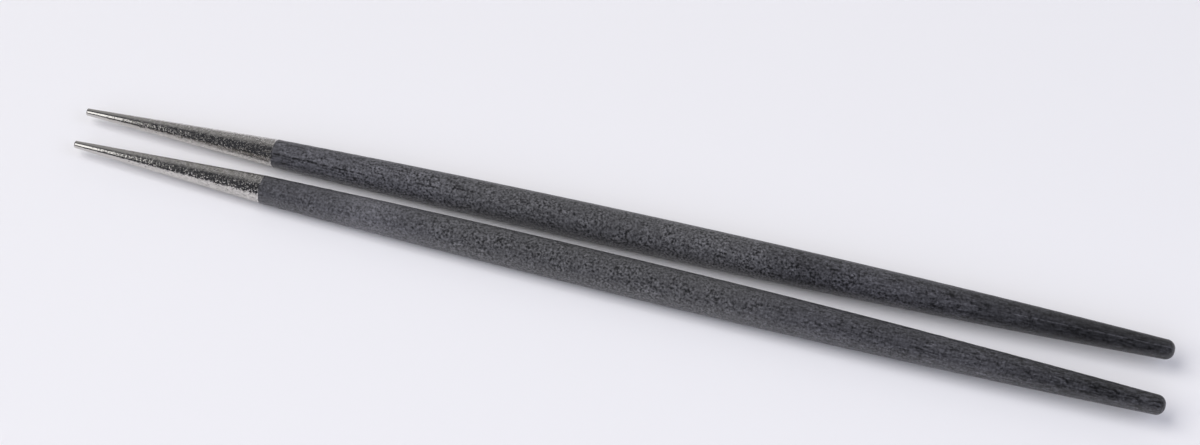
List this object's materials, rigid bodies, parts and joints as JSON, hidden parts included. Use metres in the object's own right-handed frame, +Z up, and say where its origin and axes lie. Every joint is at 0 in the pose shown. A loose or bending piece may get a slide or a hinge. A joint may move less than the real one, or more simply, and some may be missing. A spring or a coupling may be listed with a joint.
{
  "type": "pair of chopsticks",
  "caption": "Round steel-tipped table chopsticks with matt black barrel-shaped handles, lying side by side as they rest on a table.",
  "frame": {"origin": "on the table that the pair lies on, under the middle of the pair's box", "axes": "+X along the sticks from the steel tips to the butts, +Y from the near stick to the far one, +Z up"},
  "size_m": [0.241, 0.0208, 0.0085],
  "materials": {
    "steel": "satin",
    "black_handle": "matte"
  },
  "bodies": {
    "root": {"near_steel_tip": "steel", "near_handle": "black_handle", "far_steel_tip": "steel", "far_handle": "black_handle"}
  },
  "joints": []
}
